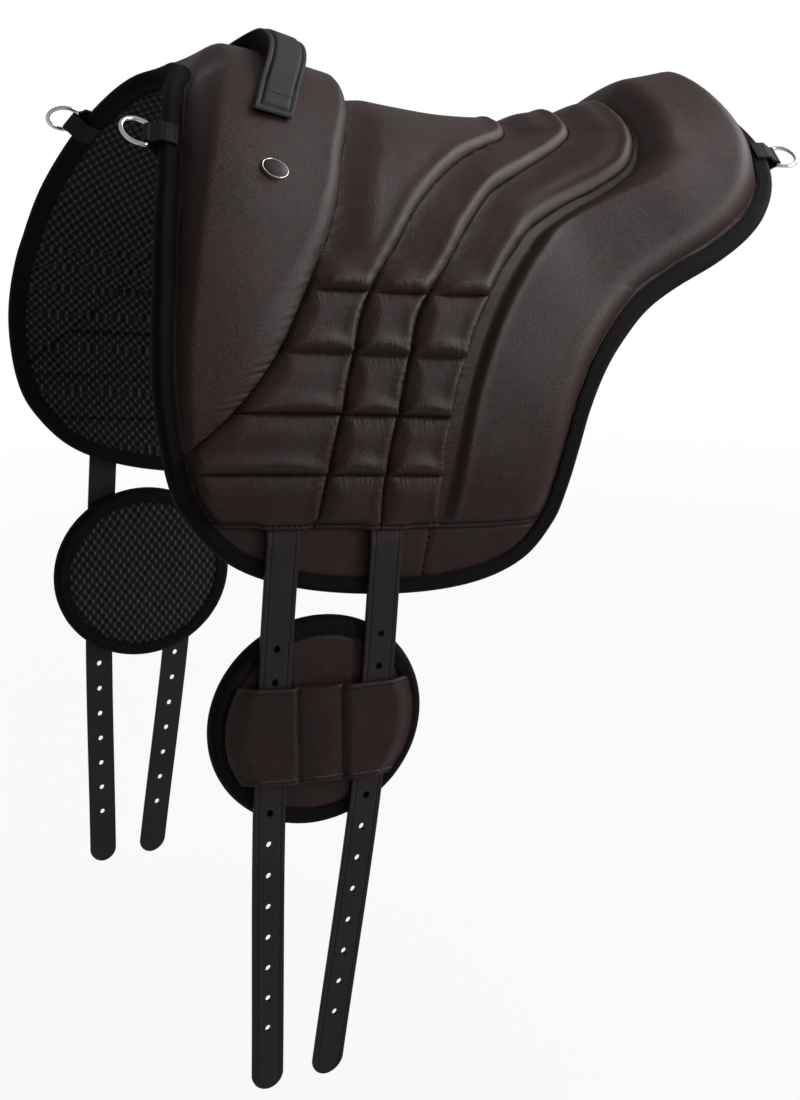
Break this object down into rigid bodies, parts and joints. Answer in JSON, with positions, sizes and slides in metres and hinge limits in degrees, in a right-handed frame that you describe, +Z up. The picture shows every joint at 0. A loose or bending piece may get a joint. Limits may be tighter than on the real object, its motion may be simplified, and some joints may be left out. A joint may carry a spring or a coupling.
{
  "type": "bareback pad",
  "caption": "Padded leather bareback pad for a horse, with quilted seat strips, raised pommel and cantle, grab handle, D-rings, girth straps and sliding buckle guards.",
  "frame": {"origin": "on the underside that bears on the horse, at the lowest place of the seat along the spine", "axes": "+X towards the horse's tail, +Y towards its off (right) side, +Z up; the near (left) side faces -Y"},
  "size_m": [0.6092, 0.4462, 0.7873],
  "materials": {
    "leather": "satin dark brown pebbled leather",
    "strap_leather": "black smooth strap leather with edge stitching",
    "handle_leather": "charcoal leather with edge stitching",
    "binding": "black woven tape",
    "mesh": "black spacer mesh",
    "foam": "grey closed-cell foam",
    "webbing": "black woven webbing",
    "steel": "nickel-plated steel"
  },
  "bodies": {
    "pad": {"pommel_panel": "leather", "seat_panel_front": "leather", "seat_panel_middle": "leather", "seat_panel_rear": "leather", "cantle_panel": "leather", "billet_strip_near": "leather", "billet_strip_off": "leather", "base_foam": "foam", "pommel_foam": "foam", "seat_foam": "foam", "cantle_foam": "foam", "billet_carrier_front": "webbing", "billet_carrier_rear": "webbing", "lining_near": "mesh", "lining_off": "mesh", "spine_strip": "mesh", "edge_binding": "binding", "grab_handle": "handle_leather", "ring_tab_near_front": "webbing", "ring_tab_near_rear": "webbing", "ring_tab_off_front": "webbing", "ring_tab_off_rear": "webbing"},
    "near_billets": {"billet_near_front": "strap_leather", "billet_near_rear": "strap_leather"},
    "near_guard": {"guard_face_near": "leather", "guard_foam_near": "foam", "guard_lining_near": "mesh", "guard_binding_near": "binding", "guard_sleeve_near": "leather"},
    "d_ring_near_front": {"d_ring_near_front": "steel"},
    "d_ring_near_rear": {"d_ring_near_rear": "steel"},
    "off_billets": {"billet_off_front": "strap_leather", "billet_off_rear": "strap_leather"},
    "off_guard": {"guard_face_off": "leather", "guard_foam_off": "foam", "guard_lining_off": "mesh", "guard_binding_off": "binding", "guard_sleeve_off": "leather"},
    "d_ring_off_front": {"d_ring_off_front": "steel"},
    "d_ring_off_rear": {"d_ring_off_rear": "steel"}
  },
  "joints": [
    {"name": "near_billets_lift", "type": "hinge", "parent": "pad", "child": "near_billets", "pos_m": [-0.244, -0.217, -0.24295], "axis": [-0.9932, 0, 0.1165], "range_deg": [0, 90]},
    {"name": "near_guard_slide", "type": "slide", "parent": "near_billets", "child": "near_guard", "axis": [-0.089, 0, -0.996], "range_m": [-0.004, 0.095]},
    {"name": "d_ring_near_front_swing", "type": "hinge", "parent": "pad", "child": "d_ring_near_front", "pos_m": [-0.29405, -0.09832, 0.02925], "axis": [-0.313, -0.7417, -0.5933], "range_deg": [-120, 120]},
    {"name": "d_ring_near_rear_swing", "type": "hinge", "parent": "pad", "child": "d_ring_near_rear", "pos_m": [0.257, -0.09546, -0.00369], "axis": [-0.1618, -0.8291, -0.5352], "range_deg": [-120, 120]},
    {"name": "off_billets_lift", "type": "hinge", "parent": "pad", "child": "off_billets", "pos_m": [-0.244, 0.217, -0.24295], "axis": [0.9932, 0, -0.1165], "range_deg": [0, 90]},
    {"name": "off_guard_slide", "type": "slide", "parent": "off_billets", "child": "off_guard", "axis": [-0.089, 0, -0.996], "range_m": [-0.004, 0.095]},
    {"name": "d_ring_off_front_swing", "type": "hinge", "parent": "pad", "child": "d_ring_off_front", "pos_m": [-0.29405, 0.09832, 0.02925], "axis": [-0.313, 0.7417, -0.5933], "range_deg": [-120, 120]},
    {"name": "d_ring_off_rear_swing", "type": "hinge", "parent": "pad", "child": "d_ring_off_rear", "pos_m": [0.257, 0.09546, -0.00369], "axis": [-0.1618, 0.8291, -0.5352], "range_deg": [-120, 120]}
  ]
}
